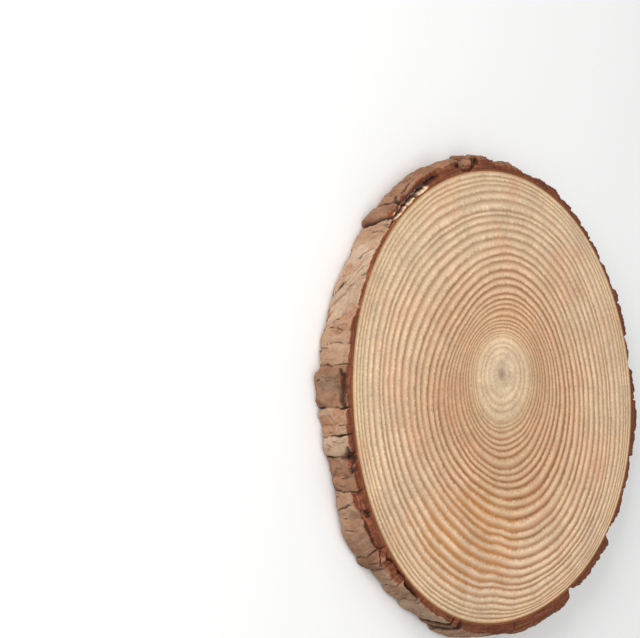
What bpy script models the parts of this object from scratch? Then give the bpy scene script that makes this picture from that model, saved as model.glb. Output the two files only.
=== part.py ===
"""A round slice sawn across a young pine trunk, with its bark still on.

The slice lies flat: +Z is up out of the face that shows, and the origin is under the middle of the
slice, at the level of the surface it lies on. Sizes are in metres unless a name says mm. Angles are
in degrees, anticlockwise from +X about the middle of the wood, and are taken at the upper rim.
Heights are shares of the slice's thickness, from the lower face (0) to the upper face (1).
"""
import math
import random
from typing import NamedTuple

import bmesh
import bpy
from mathutils import Vector, noise

MM = 0.001
SEED = 27

# Driving sizes of the slice
WOOD_RADIUS = 0.073
SLICE_THICKNESS = 0.011
WOOD_MIDDLE = (-0.00022, -0.00026)

# The wood's outline is a circle with lobes: how many, their swell as a share, the first one's angle
WOOD_LOBES = ((2, 0.0150, -11.5), (3, 0.0071, -8.7), (4, 0.0065, -32.5))


class Plate(NamedTuple):
    """One plate of bark: the angle where it ends, the bark's thickness at its two edges, and how wide
    the crack after it stands open, from 0 to about 3.
    """
    end: float
    first_mm: float
    last_mm: float
    gape: float


# The bark plates, one after another round the slice from START_ANGLE
START_ANGLE = 6.5
PLATES = (
    Plate(14.5, 2.9, 1.9, 0.9), Plate(23.5, 3.2, 3.8, 1.0), Plate(29.5, 4.2, 2.8, 1.2),
    Plate(37.5, 2.6, 1.9, 0.8), Plate(44.5, 2.3, 2.1, 0.6), Plate(49.5, 2.6, 2.6, 0.9),
    Plate(55.5, 3.0, 2.2, 1.0), Plate(61.5, 3.0, 2.4, 0.8), Plate(67.0, 3.3, 3.5, 0.9),
    Plate(73.0, 3.5, 3.2, 0.8), Plate(77.5, 2.7, 2.8, 0.9), Plate(81.5, 3.2, 3.4, 0.7),
    Plate(90.0, 3.8, 3.6, 0.9), Plate(98.5, 3.8, 5.2, 1.2), Plate(103.5, 3.4, 3.8, 1.5),
    Plate(111.0, 5.1, 5.2, 0.3), Plate(127.7, 5.0, 4.3, 2.0), Plate(133.7, 4.0, 3.7, 3.0),
    Plate(138.0, 2.4, 2.1, 0.3), Plate(148.5, 2.0, 2.0, 0.5), Plate(158.0, 2.0, 2.3, 0.1),
    Plate(166.5, 2.4, 2.7, 0.4), Plate(171.2, 2.8, 3.0, 0.4), Plate(180.8, 3.4, 3.5, 1.0),
    Plate(184.5, 3.5, 3.6, 0.2), Plate(187.1, 3.7, 3.8, 0.8), Plate(191.6, 3.9, 3.8, 0.7),
    Plate(196.5, 3.3, 4.0, 0.1), Plate(200.0, 4.1, 4.3, 0.6), Plate(206.0, 4.3, 4.5, 0.2),
    Plate(215.5, 4.5, 4.1, 0.4), Plate(220.4, 4.0, 3.8, 0.6), Plate(226.0, 3.7, 3.5, 0.4),
    Plate(233.0, 3.3, 2.4, 0.5), Plate(247.8, 2.2, 2.7, 3.0), Plate(250.3, 2.9, 3.1, 3.0),
    Plate(262.0, 3.4, 4.0, 0.8), Plate(272.5, 4.1, 3.9, 0.9), Plate(281.0, 4.5, 4.8, 0.8),
    Plate(290.5, 4.8, 4.9, 0.9), Plate(297.5, 5.0, 4.7, 1.1), Plate(302.0, 2.4, 3.2, 0.9),
    Plate(311.5, 4.1, 4.2, 0.9), Plate(319.5, 4.2, 4.7, 1.2), Plate(324.0, 1.9, 2.2, 0.9),
    Plate(334.0, 3.2, 2.4, 0.8), Plate(343.0, 3.0, 2.2, 1.2), Plate(350.0, 4.1, 3.9, 0.8),
    Plate(357.5, 4.8, 4.8, 0.9), Plate(366.5, 4.7, 3.4, 1.1),
)

# The grain of the bark leans: how far a crack turns from the lower to the upper rim, by angle
LEAN_TURNS = (
    (0.0, 1.0), (40.0, -1.5), (75.0, 1.5), (110.0, 0.0), (134.0, -2.5), (148.0, -11.5),
    (168.0, -0.5), (200.0, 0.0), (222.0, -2.0), (233.0, -1.0), (247.0, 3.5), (262.0, 2.0),
    (300.0, -1.5), (335.0, 1.5), (360.0, 1.0),
)

# The bark's thickness at the lower rim where the photo shows it, by angle of the lower rim
LOWER_RIM_MM = (
    (98.0, 4.4), (108.0, 3.8), (114.0, 4.2), (120.0, 3.7), (126.0, 3.3), (130.0, 2.8), (135.0, 3.3),
    (136.4, 1.6), (142.0, 1.9), (150.0, 2.0), (156.0, 2.5), (162.0, 2.9), (166.5, 3.7), (171.0, 3.6),
    (174.0, 4.3), (178.0, 3.2), (182.0, 4.4), (185.0, 3.8), (191.0, 3.9), (193.5, 2.1), (200.0, 3.3),
    (205.0, 4.5), (209.0, 5.8), (213.0, 5.7), (218.0, 4.6), (224.0, 2.0), (236.0, 2.1), (240.0, 1.7),
    (244.0, 2.4), (249.0, 4.6), (256.0, 4.7), (266.0, 4.2),
)


class Scar(NamedTuple):
    """A soft-edged patch on the side, where bark broke away or, with a negative depth, stands out."""
    angle: float
    half_width: float
    height: float
    half_height: float
    depth_mm: float


SCARS = (
    Scar(101.5, 2.6, 0.75, 0.75, 2.2),
    Scar(121.0, 13.0, 1.00, 0.35, 0.9),
    Scar(175.5, 2.9, 0.98, 0.32, 1.4),
    Scar(176.2, 4.6, 0.15, 0.62, -1.9),
    Scar(193.0, 1.8, 1.00, 0.35, 1.9),
    Scar(203.0, 3.4, 1.00, 0.30, 1.2),
    Scar(211.5, 7.5, 1.00, 0.55, 2.2),
    Scar(222.5, 4.6, 0.97, 0.16, 1.5),
    Scar(299.0, 1.6, 0.60, 0.80, 1.0),
    Scar(320.5, 2.4, 0.90, 0.55, 0.8),
    Scar(7.0, 1.3, 0.70, 0.70, 1.2),
    Scar(53.0, 5.0, 0.10, 0.35, 1.0),
    Scar(283.0, 7.0, 0.05, 0.30, 1.3),
    Scar(338.0, 4.0, 0.00, 0.35, 1.0),
)


class Crevice(NamedTuple):
    """A slit that opens downwards in the sawn edge of the bark, behind a flake that has lifted."""
    start: float
    end: float
    depth_mm: float


CREVICES = (Crevice(114.0, 134.0, 2.2), Crevice(217.0, 233.0, 2.2))

# Relief of the plates, and of the cracks between them
CRACK_HALF_WIDTH_MM = 0.55
CRACK_DEPTH_MM = (0.7, 1.9)
PLATE_CROWN_MM = 0.35
PLATE_TILT_MM = 0.9
RIM_CHIP_MM = (0.1, 0.9)
RIM_CHIP_SHARE = 0.14
LEDGE_HEIGHT = (0.25, 0.75)
LEDGE_STEP_MM = 0.8
LEDGE_SHARE = 0.17
ROUGHNESS_MM = 0.35
LEAST_BARK_MM = 0.9
SWAY_DEGREES = 0.55
SCAR_STEEPNESS = 2.2

# The sawn edge of the bark lies a little behind the sawn wood, because its fibres tear out
BARK_DROP_MM = (0.05, 0.45)
CRACK_DROP_MM = 0.4

# How many waves of the noise go to a metre, and how far apart its layers lie, in waves
ROUGHNESS_WAVES = 240.0
SWAY_WAVES = 160.0
DROP_WAVES = 420.0
LAYER_STEP = 19.7

# Rows up the side, and rings across the bark from the wood out to the rim, as shares
ROWS = (0.0, 0.12, 0.32, 0.52, 0.72, 0.88, 1.0)
UPPER_RINGS = (0.0, 0.34, 0.58, 1.0)
LOWER_RINGS = (0.0, 0.5, 1.0)
SLIT_RING = UPPER_RINGS[2]
SLIT_HALF_SHARE = 0.28
COLUMN_DEGREES = 1.45
DRUM_RING_STEP = 0.1

SHARP_EDGE = math.radians(40.0)
WOOD_COLOR = (0.62, 0.43, 0.25, 1.0)
WOOD_ROUGHNESS = 0.7
BARK_COLOR = (0.33, 0.19, 0.12, 1.0)
BARK_ROUGHNESS = 0.9


def s_curve(share):
    """Rises from 0 to 1 as share does, flat at both ends."""
    share = min(max(share, 0.0), 1.0)
    return share * share * (3.0 - 2.0 * share)


def mix(low, high, share):
    """The value between low and high at a share from 0 to 1."""
    return low + (high - low) * share


def patch(place, middle, half):
    """1 near the middle of a patch and 0 outside it, with a soft edge."""
    return s_curve(SCAR_STEEPNESS * (1.0 - abs(place - middle) / half))


def turn_between(angle, other):
    """The turn from one angle to another, from -180 to 180 degrees."""
    return (angle - other + 180.0) % 360.0 - 180.0


def wood_edge(angle):
    """The wood's radius, under the bark, at an angle."""
    swell = sum(size * math.cos(math.radians(lobes * (angle - first)))
                for lobes, size, first in WOOD_LOBES)
    return WOOD_RADIUS * (1.0 + swell)


def between(stops, angle):
    """The value at an angle, between the (angle, value) stops on its two sides."""
    angle %= 360.0
    for (before, low), (after, high) in zip(stops, stops[1:]):
        if angle <= after:
            return mix(low, high, s_curve((angle - before) / (after - before)))


def lower_rim(angle, otherwise):
    """The bark's thickness in mm at the lower rim, or the other value where the photo hides it."""
    turned = (angle - between(LEAN_TURNS, angle)) % 360.0
    if LOWER_RIM_MM[0][0] < turned < LOWER_RIM_MM[-1][0]:
        return between(LOWER_RIM_MM, turned)
    return otherwise


def noise_on_side(angle, height, waves, layer):
    """Seamless noise from -1 to 1 over the side of the slice, different in each layer."""
    turn = math.radians(angle)
    spot = Vector((WOOD_RADIUS * math.cos(turn), WOOD_RADIUS * math.sin(turn), height * SLICE_THICKNESS))
    return noise.noise(spot * waves + Vector((0.0, 0.0, layer * LAYER_STEP)))


def drawn_plates():
    """The bark plates, each with the angle where it starts and its own seeded relief."""
    draw = random.Random(SEED)
    start = START_ANGLE
    gape = PLATES[-1].gape
    plates = []
    for plate in PLATES:
        plates.append({
            "start": start,
            "end": plate.end,
            "first": plate.first_mm,
            "last": plate.last_mm,
            "tilt": draw.uniform(-PLATE_TILT_MM, PLATE_TILT_MM),
            "upper_chip": draw.uniform(*RIM_CHIP_MM),
            "lower_chip": draw.uniform(*RIM_CHIP_MM),
            "ledge": draw.uniform(*LEDGE_HEIGHT),
            "ledge_step": draw.uniform(-LEDGE_STEP_MM, LEDGE_STEP_MM),
            "crack": draw.uniform(*CRACK_DEPTH_MM) * min(1.3, 0.15 + gape),
        })
        start = plate.end
        gape = plate.gape
    return plates


def bark_columns(plates):
    """The columns of the mesh: the angle, the plate, and whether the column is a crack's bottom."""
    lip = math.degrees(CRACK_HALF_WIDTH_MM * MM / WOOD_RADIUS)
    columns = []
    for plate in plates:
        first = plate["start"] + lip
        last = plate["end"] - lip
        steps = max(2, round((last - first) / COLUMN_DEGREES))
        columns.append((plate["start"], plate, True))
        columns += [(mix(first, last, step / steps), plate, False) for step in range(steps + 1)]
    return columns


def bark_thickness(angle, height, plate, in_crack):
    """The bark's thickness in metres at an angle of the upper rim and a height."""
    across = (angle - plate["start"]) / (plate["end"] - plate["start"])
    upper = mix(plate["first"], plate["last"], across)
    depth = mix(lower_rim(angle, upper + plate["tilt"]), upper, height)
    depth += PLATE_CROWN_MM * (1.0 - (2.0 * across - 1.0) ** 2)
    ledge = s_curve((plate["ledge"] - height) / LEDGE_SHARE + 0.5)
    depth += plate["ledge_step"] * (ledge - 1.0 + height)
    depth -= plate["upper_chip"] * s_curve(1.0 - (1.0 - height) / RIM_CHIP_SHARE)
    depth -= plate["lower_chip"] * s_curve(1.0 - height / RIM_CHIP_SHARE)
    depth += ROUGHNESS_MM * noise_on_side(angle, height, ROUGHNESS_WAVES, 1)
    if in_crack:
        depth -= plate["crack"]
    for scar in SCARS:
        beside = patch(turn_between(angle, scar.angle), 0.0, scar.half_width)
        depth -= scar.depth_mm * beside * patch(height, scar.height, scar.half_height)
    return max(depth, LEAST_BARK_MM) * MM


def bark_drop(angle, across, face, in_crack):
    """How far the bark's sawn edge lies behind the sawn wood, at a share across the bark."""
    torn = 0.5 + noise_on_side(angle, face, DROP_WAVES, 2)
    drop = mix(*BARK_DROP_MM, torn) + (CRACK_DROP_MM if in_crack else 0.0)
    drop *= s_curve(across)
    for crevice in CREVICES:
        along = (angle - crevice.start) / (crevice.end - crevice.start)
        if face == 1 and 0.0 < along < 1.0:
            slit = max(0.0, 1.0 - abs(across - SLIT_RING) / SLIT_HALF_SHARE)
            drop += crevice.depth_mm * slit * math.sqrt(math.sin(math.pi * along))
    return max(drop, 0.0) * MM


def plain_drum(column_count):
    """A drum of radius and height 1, with even rows up its side and even rings on its two ends."""
    drum = bmesh.new()
    bmesh.ops.create_cone(drum, cap_ends=True, segments=column_count, radius1=1.0, radius2=1.0, depth=1.0)
    bmesh.ops.translate(drum, verts=drum.verts, vec=(0.0, 0.0, 0.5))
    uprights = [edge for edge in drum.edges if abs(edge.verts[0].co.z - edge.verts[1].co.z) > 0.5]
    ends = {round(face.calc_center_median().z): face for face in drum.faces if len(face.verts) > 4}
    bmesh.ops.subdivide_edges(drum, edges=uprights, cuts=len(ROWS) - 2, use_grid_fill=False)
    for face, rings in ((1, UPPER_RINGS), (0, LOWER_RINGS)):
        for _ in rings[1:]:
            bmesh.ops.inset_individual(drum, faces=[ends[face]], thickness=DRUM_RING_STEP)
    for face in drum.faces:
        face.material_index = 1
    for end in ends.values():
        end.material_index = 0
    return drum


def grown_point(spot, columns):
    """Where a point of the plain drum lies on the slice."""
    step = math.tau / len(columns)
    angle, plate, in_crack = columns[round(math.atan2(spot.y, spot.x) / step) % len(columns)]
    height = ROWS[round(spot.z * (len(ROWS) - 1))]
    rings = LOWER_RINGS if height == 0.0 else UPPER_RINGS
    across = rings[len(rings) - 1 - round((1.0 - math.hypot(spot.x, spot.y)) / DRUM_RING_STEP)]

    drop_across = across if height in (0.0, 1.0) else 1.0
    lowest = bark_drop(angle, drop_across, 0, in_crack)
    highest = SLICE_THICKNESS - bark_drop(angle, drop_across, 1, in_crack)
    level = mix(lowest, highest, height)

    sway = SWAY_DEGREES * noise_on_side(angle, height, SWAY_WAVES, 3)
    turned = angle + sway - between(LEAN_TURNS, angle) * (1.0 - level / SLICE_THICKNESS)
    radius = wood_edge(turned) + across * bark_thickness(angle, height, plate, in_crack)
    turn = math.radians(turned)
    return Vector((WOOD_MIDDLE[0] + radius * math.cos(turn),
                   WOOD_MIDDLE[1] + radius * math.sin(turn), level))


def principled(name, color, roughness):
    """A plain material of one colour."""
    material = bpy.data.materials.new(name)
    material.use_nodes = True
    shader = material.node_tree.nodes["Principled BSDF"]
    shader.inputs["Base Color"].default_value = color
    shader.inputs["Roughness"].default_value = roughness
    shader.inputs["Metallic"].default_value = 0.0
    return material


def wood_slice():
    """The slice: sawn wood, and the bark that grew on it, as one solid."""
    columns = bark_columns(drawn_plates())
    drum = plain_drum(len(columns))
    for vertex in drum.verts:
        vertex.co = grown_point(vertex.co, columns)
    bmesh.ops.recalc_face_normals(drum, faces=drum.faces)
    mesh = bpy.data.meshes.new("wood_slice")
    drum.to_mesh(mesh)
    drum.free()
    mesh.materials.append(principled("sawn wood", WOOD_COLOR, WOOD_ROUGHNESS))
    mesh.materials.append(principled("bark", BARK_COLOR, BARK_ROUGHNESS))
    mesh.shade_smooth()
    mesh.set_sharp_from_angle(angle=SHARP_EDGE)
    return bpy.data.objects.new("wood_slice", mesh)


def main():
    for leftover in list(bpy.data.objects):
        bpy.data.objects.remove(leftover)
    collection = bpy.data.collections.new("wood slice")
    bpy.context.scene.collection.children.link(collection)
    collection.objects.link(wood_slice())


main()
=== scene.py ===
"""Dresses a pine slice: its sawn wood with the growth rings, its bark, a pale stage and a camera.

Sizes are in metres unless a name says mm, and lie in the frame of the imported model: the slice lies
flat and +Z is up out of the face that shows. Angles are in degrees, anticlockwise from +X about the
middle of the wood, and are taken at the upper rim. Heights are shares of the slice's thickness.
"""

import bisect
import math
import random
from typing import NamedTuple

import bmesh
import bpy
from bpy.props import FloatProperty, FloatVectorProperty, PointerProperty
from mathutils import Matrix, Vector, noise


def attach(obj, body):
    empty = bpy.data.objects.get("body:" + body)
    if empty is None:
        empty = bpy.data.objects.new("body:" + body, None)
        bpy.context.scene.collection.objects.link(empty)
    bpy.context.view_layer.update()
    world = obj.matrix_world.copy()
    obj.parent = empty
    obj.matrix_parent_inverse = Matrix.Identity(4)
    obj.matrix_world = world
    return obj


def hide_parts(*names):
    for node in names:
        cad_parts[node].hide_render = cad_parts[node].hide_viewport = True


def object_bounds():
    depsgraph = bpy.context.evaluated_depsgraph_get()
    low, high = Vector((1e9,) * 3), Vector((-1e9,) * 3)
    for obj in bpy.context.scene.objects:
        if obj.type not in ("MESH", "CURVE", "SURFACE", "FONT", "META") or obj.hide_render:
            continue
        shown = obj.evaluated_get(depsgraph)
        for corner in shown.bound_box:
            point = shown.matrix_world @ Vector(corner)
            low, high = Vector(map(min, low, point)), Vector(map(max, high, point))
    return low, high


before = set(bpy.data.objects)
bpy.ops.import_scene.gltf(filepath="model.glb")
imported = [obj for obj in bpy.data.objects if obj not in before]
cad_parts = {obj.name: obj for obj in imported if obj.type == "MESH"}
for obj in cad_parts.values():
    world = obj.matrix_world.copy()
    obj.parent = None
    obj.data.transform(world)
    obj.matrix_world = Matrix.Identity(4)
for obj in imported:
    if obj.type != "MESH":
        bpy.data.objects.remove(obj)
CAD_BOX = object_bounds()

bl_info = {
    "name": "Pine Slice",
    "version": (1, 0, 0),
    "blender": (4, 5, 0),
    "location": "View3D > Sidebar > Slice",
    "description": "Makes a sawn pine slice with growth rings and flaking bark",
    "category": "Add Mesh",
}

NODE = "wood_slice"
MM = 0.001
SEED = 27
SAME_PLACE = 1e-4

# The wood
WOOD_RADIUS = 0.073
WOOD_MIDDLE = (-0.00022, -0.00026)
PITH = (WOOD_MIDDLE[0], WOOD_MIDDLE[1] + 0.1 * WOOD_RADIUS)
LOWER_FACE = CAD_BOX[0].z
UPPER_FACE = CAD_BOX[1].z
SLICE_THICKNESS = UPPER_FACE - LOWER_FACE

# What the trunk grew each year, from the pith outwards
YEARLY_GROWTH_MM = (
    4.2, 2.9, 2.6, 1.8, 2.9, 1.1, 1.1, 1.8, 1.3, 1.3, 1.7, 2.6, 1.6, 2.0, 1.8, 3.2, 2.3, 3.1,
    3.1, 2.6, 2.8, 3.3, 3.2, 2.7, 2.6, 1.8, 3.0, 2.4, 2.0, 1.2, 1.4, 1.4,
)


class RingShape(NamedTuple):
    """How the rings lie at one share of the way out from the pith, all as shares of the wood's radius.

    The middle is the ring's, from the pith. Each lobe pair is the swell and the angle that it leans to.
    """
    share: float
    middle: tuple
    two_lobes: tuple
    three_lobes: tuple
    four_lobes: tuple


RING_SHAPES = (
    RingShape(0.000, (0.000, 0.000), (0.040, 29), (0.010, 0), (0.000, 0)),
    RingShape(0.125, (0.006, -0.010), (0.035, 29), (0.009, -27), (0.003, 170)),
    RingShape(0.232, (0.009, -0.034), (0.026, 32), (0.015, 57), (0.005, 155)),
    RingShape(0.350, (0.015, -0.069), (0.022, 97), (0.013, 177), (0.012, 23)),
    RingShape(0.466, (0.029, -0.093), (0.002, -175), (0.034, -150), (0.012, 28)),
    RingShape(0.595, (0.030, -0.105), (0.017, -113), (0.032, -165), (0.009, -8)),
    RingShape(0.716, (0.023, -0.108), (0.028, -87), (0.026, -177), (0.002, -86)),
    RingShape(0.841, (0.010, -0.117), (0.014, -65), (0.011, -161), (0.011, -136)),
    RingShape(1.000, (0.000, -0.100), (0.0150, -23), (0.0071, -26), (0.0065, -130)),
)

# The outer rings dip towards the pith at one angle and swell beside it
RING_DIP = (262.0, 6.0, -0.016)
RING_SWELL = (281.0, 12.0, 0.009)
RING_DIP_FROM = 0.45
RING_DIP_OVER = 0.2

WOOD_COLUMNS = 320
RING_LOOPS = (0.0, 0.5, 0.85)
EARLYWOOD_SUNK_MM = 0.015
RING_WOBBLES = ((0.0055, 42.0), (0.0035, 110.0))
CALM_EDGE_SHARE = 0.08
CALM_CORE_SHARE = 0.3
WOOD_SHARP_DEGREES = 50.0


class Plate(NamedTuple):
    """One plate of bark: the angle where it ends, the bark's thickness at its two edges, how wide the
    crack after it stands open, from 0 to about 3, and how pale its skin is, from 0 to 1.
    """
    end: float
    first_mm: float
    last_mm: float
    gape: float
    pale: float


START_ANGLE = 6.5
PLATES = (
    Plate(14.5, 2.9, 1.9, 0.9, 0.32), Plate(23.5, 3.2, 3.8, 1.0, 0.24), Plate(29.5, 4.2, 2.8, 1.2, 0.39),
    Plate(37.5, 2.6, 1.9, 0.8, 0.28), Plate(44.5, 2.3, 2.1, 0.6, 0.21), Plate(49.5, 2.6, 2.6, 0.9, 0.35),
    Plate(55.5, 3.0, 2.2, 1.0, 0.42), Plate(61.5, 3.0, 2.4, 0.8, 0.28), Plate(67.0, 3.3, 3.5, 0.9, 0.35),
    Plate(73.0, 3.5, 3.2, 0.8, 0.24), Plate(77.5, 2.7, 2.8, 0.9, 0.35), Plate(81.5, 3.2, 3.4, 0.7, 0.32),
    Plate(90.0, 3.8, 3.6, 0.9, 0.28), Plate(98.5, 3.8, 5.2, 0.8, 0.24), Plate(103.5, 3.4, 3.8, 0.9, 0.20),
    Plate(111.0, 5.1, 5.2, 0.3, 0.35), Plate(126.9, 5.0, 4.3, 3.0, 0.40), Plate(132.7, 4.0, 3.7, 3.0, 0.25),
    Plate(138.0, 2.4, 2.1, 0.3, 0.75), Plate(148.5, 2.0, 2.0, 0.5, 0.95), Plate(158.0, 2.0, 2.3, 0.1, 0.80),
    Plate(166.5, 2.4, 2.7, 0.4, 0.65), Plate(171.2, 2.8, 3.0, 0.4, 0.65), Plate(180.8, 3.4, 3.5, 0.7, 0.35),
    Plate(184.5, 3.5, 3.6, 0.2, 0.70), Plate(187.1, 3.7, 3.8, 0.8, 0.65), Plate(191.6, 3.9, 3.8, 0.7, 0.80),
    Plate(196.5, 3.3, 4.0, 0.1, 0.30), Plate(200.0, 4.1, 4.3, 0.6, 0.35), Plate(206.0, 4.3, 4.5, 0.2, 0.60),
    Plate(215.5, 4.5, 4.1, 0.4, 0.55), Plate(220.4, 4.0, 3.8, 0.6, 0.35), Plate(226.0, 3.7, 3.5, 0.4, 0.75),
    Plate(233.0, 3.3, 2.4, 0.5, 0.60), Plate(247.8, 2.2, 2.7, 3.0, 0.80), Plate(250.3, 2.9, 3.1, 3.0, 0.20),
    Plate(262.0, 3.4, 4.0, 0.8, 0.60), Plate(272.5, 4.1, 3.9, 0.9, 0.35), Plate(281.0, 4.5, 4.8, 0.8, 0.28),
    Plate(290.5, 4.8, 4.9, 0.9, 0.24), Plate(297.5, 5.0, 4.7, 1.1, 0.32), Plate(302.0, 2.4, 3.2, 0.9, 0.17),
    Plate(311.5, 4.1, 4.2, 0.9, 0.35), Plate(319.5, 4.2, 4.7, 1.2, 0.28), Plate(324.0, 1.9, 2.2, 0.9, 0.17),
    Plate(334.0, 3.2, 2.4, 0.8, 0.35), Plate(343.0, 3.0, 2.2, 1.2, 0.24), Plate(350.0, 4.1, 3.9, 0.8, 0.35),
    Plate(357.5, 4.8, 4.8, 0.9, 0.28), Plate(366.5, 4.7, 3.4, 1.1, 0.32),
)

# The grain of the bark leans: how far a crack turns from the lower to the upper rim, by angle
LEAN_TURNS = (
    (0.0, 1.0), (40.0, -1.5), (75.0, 1.5), (110.0, 0.0), (134.0, -3.5), (148.0, -11.5),
    (168.0, -0.5), (200.0, 0.0), (222.0, -2.0), (233.0, -1.0), (247.0, 4.5), (262.0, 2.0),
    (300.0, -1.5), (335.0, 1.5), (360.0, 1.0),
)

# The bark's thickness at the lower rim where the photo shows it, by angle of the lower rim
LOWER_RIM_MM = (
    (98.0, 4.4), (108.0, 3.8), (114.0, 4.2), (120.0, 3.7), (126.0, 3.3), (130.0, 2.8), (135.0, 3.3),
    (136.4, 1.6), (142.0, 1.9), (150.0, 2.0), (156.0, 2.5), (162.0, 2.9), (166.5, 3.7), (171.0, 3.6),
    (174.0, 4.3), (178.0, 3.2), (182.0, 4.4), (185.0, 3.8), (191.0, 3.9), (193.5, 2.1), (200.0, 3.3),
    (205.0, 4.5), (209.0, 5.8), (213.0, 5.7), (218.0, 4.6), (224.0, 2.0), (236.0, 2.1), (240.0, 1.7),
    (244.0, 2.4), (249.0, 4.6), (256.0, 4.7), (266.0, 4.2),
)


class Scar(NamedTuple):
    """A soft-edged patch on the side, where bark broke away or, with a negative depth, stands out."""
    angle: float
    half_width: float
    height: float
    half_height: float
    depth_mm: float


SCARS = (
    Scar(101.5, 2.6, 0.75, 0.75, 2.2),
    Scar(121.0, 13.0, 1.00, 0.35, 0.9),
    Scar(175.5, 2.9, 0.98, 0.32, 1.4),
    Scar(176.2, 4.6, 0.15, 0.62, -1.9),
    Scar(193.0, 1.8, 1.00, 0.35, 1.9),
    Scar(203.0, 3.4, 1.00, 0.30, 1.2),
    Scar(211.5, 7.5, 1.00, 0.55, 2.2),
    Scar(222.5, 4.6, 0.97, 0.16, 1.5),
    Scar(299.0, 1.6, 0.60, 0.80, 1.0),
    Scar(320.5, 2.4, 0.90, 0.55, 0.8),
    Scar(7.0, 1.3, 0.70, 0.70, 1.2),
    Scar(53.0, 5.0, 0.10, 0.35, 1.0),
    Scar(283.0, 7.0, 0.05, 0.30, 1.3),
    Scar(338.0, 4.0, 0.00, 0.35, 1.0),
)

# Shallow bare patches that are too slight for the solid
SHALLOW_SCARS = (
    Scar(131.0, 2.6, 0.95, 0.45, 0.6),
    Scar(222.0, 5.0, 1.00, 0.18, 0.3),
    Scar(268.0, 6.0, 0.95, 0.50, 0.4),
    Scar(75.0, 5.0, 0.90, 0.40, 0.3),
    Scar(40.0, 4.0, 0.20, 0.40, 0.4),
    Scar(310.0, 5.0, 0.70, 0.40, 0.4),
)

# Grey skin on the plate that stands out: its angle, half its width, its height and how far it reaches
GREY_PATCH = (175.3, 2.6, 0.55, 0.38)

# Pale inner bark in the sawn edge: its angle, half its width, how far out it lies and half its depth in mm
CREAM_STRIP = (125.5, 9.5, 1.6, 1.15)

# Slits in the upper sawn edge behind lifted flakes, from angle to angle, across a share of the bark
SLITS = ((95.5, 106.0), (112.0, 135.0), (217.0, 233.0))
SLIT_SHARE = 0.64
SLIT_HALF_SHARE = 0.34
SLIT_DEPTH_MM = 2.2
# How steeply and how strongly the slits are painted dark with shade
SLIT_DARKNESS = (2.2, 0.7)

# Relief of the plates and of the cracks between them, as in the solid
CRACK_HALF_WIDTH_MM = 0.55
CRACK_DEPTH_MM = (0.7, 1.9)
PLATE_CROWN_MM = 0.35
PLATE_TILT_MM = 0.9
RIM_CHIP_MM = (0.1, 0.9)
RIM_CHIP_SHARE = 0.14
LEDGE_HEIGHT = (0.25, 0.75)
LEDGE_STEP_MM = 0.8
LEDGE_SHARE = 0.17
SCAR_STEEPNESS = 2.2
BARK_DROP_MM = (0.05, 0.45)
CRACK_DROP_MM = 0.4
LAYER_STEP = 19.7

# How finely the bark is divided, and how it meets the wood
BARK_COLUMNS = 1600
COLUMNS_A_SPAN = 16
SIDE_ROWS = 36
UPPER_BAND_LOOPS = 12
LOWER_BAND_LOOPS = 5
PLAIN_LOOP_RADIUS = 0.2
SUNK_INTO_WOOD_MM = 0.2
BELOW_FACE_MM = 0.06
BARK_SHARP_DEGREES = 60.0

# The finer relief that only the scene has
LEAST_BARK_MM = 0.63
BARE_FROM = 0.84
BARE_OVER = 0.12
CRACK_WIDTH_SHARES = (0.3, 0.3)
LEAST_CRACK_MM = 0.12
CRACK_DEPTH_SHARES = (0.15, 1.3)
CRACK_SHARPNESS = 0.6
WIDE_GAPE = 2.0
GAPE_STRETCH = 2.2
FLAKE_STEP_MM = 0.16
FLAKE_LEVELS = 2.6
FLAKE_STEEPNESS = 5.0
FLAKE_STRETCH = 0.6
POPPED_FLAKES = 60
POPPED_RADIUS_MM = (1.2, 3.4)
POPPED_DEPTH_MM = (0.25, 0.7)
POPPED_REACH_DEGREES = 4
POPPED_EDGE_MM = 0.45
POPPED_STRETCH = 1.3
POPPED_MIDDLE_SHARE = 0.6
POPPED_BARE = 0.24
HAIR_CRACKS = 130
HAIR_HALF_LENGTH = (0.1, 0.4)
HAIR_SLANT = 2.5
HAIR_DEPTH_MM = (0.2, 0.7)
HAIR_REACH_DEGREES = 3
HAIR_HALF_MM = 0.24
HAIR_TIP_SHARE = 0.05
WIDE_HAIR_MM = 0.5
WIDE_HAIR_STEEPNESS = 2.0
GROOVE_BLUNTNESS = 0.4
GROOVE_WHOLENESS = 1.2
# How dark the torn grooves are painted, as painted shade
GROOVE_DARKNESS = 0.9
EDGE_CRUMBLE_MM = 0.35
EDGE_CRUMBLE_SHARE = 0.1
EDGE_PIT_MM = 0.16
EDGE_PIT_SPREAD = 0.35
EDGE_ROUND_MM = 0.5
EDGE_ROUND_FROM = 0.76
EDGE_ROUND_SHARE = 0.6
SAWN_TO = 0.97
SAWN_OVER = 0.12


class Unevenness(NamedTuple):
    """Seamless noise over the side of the slice: its strength, its waves in a metre and its layer."""
    strength: float
    waves: float
    layer: int

    def at(self, angle, height):
        """The noise at a place, between minus the strength and the strength."""
        turn = math.radians(angle)
        around = (WOOD_RADIUS * math.cos(turn), WOOD_RADIUS * math.sin(turn), height * SLICE_THICKNESS)
        lifted = Vector((0.0, 0.0, self.layer * LAYER_STEP))
        return self.strength * noise.noise(Vector(around) * self.waves + lifted)


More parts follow.
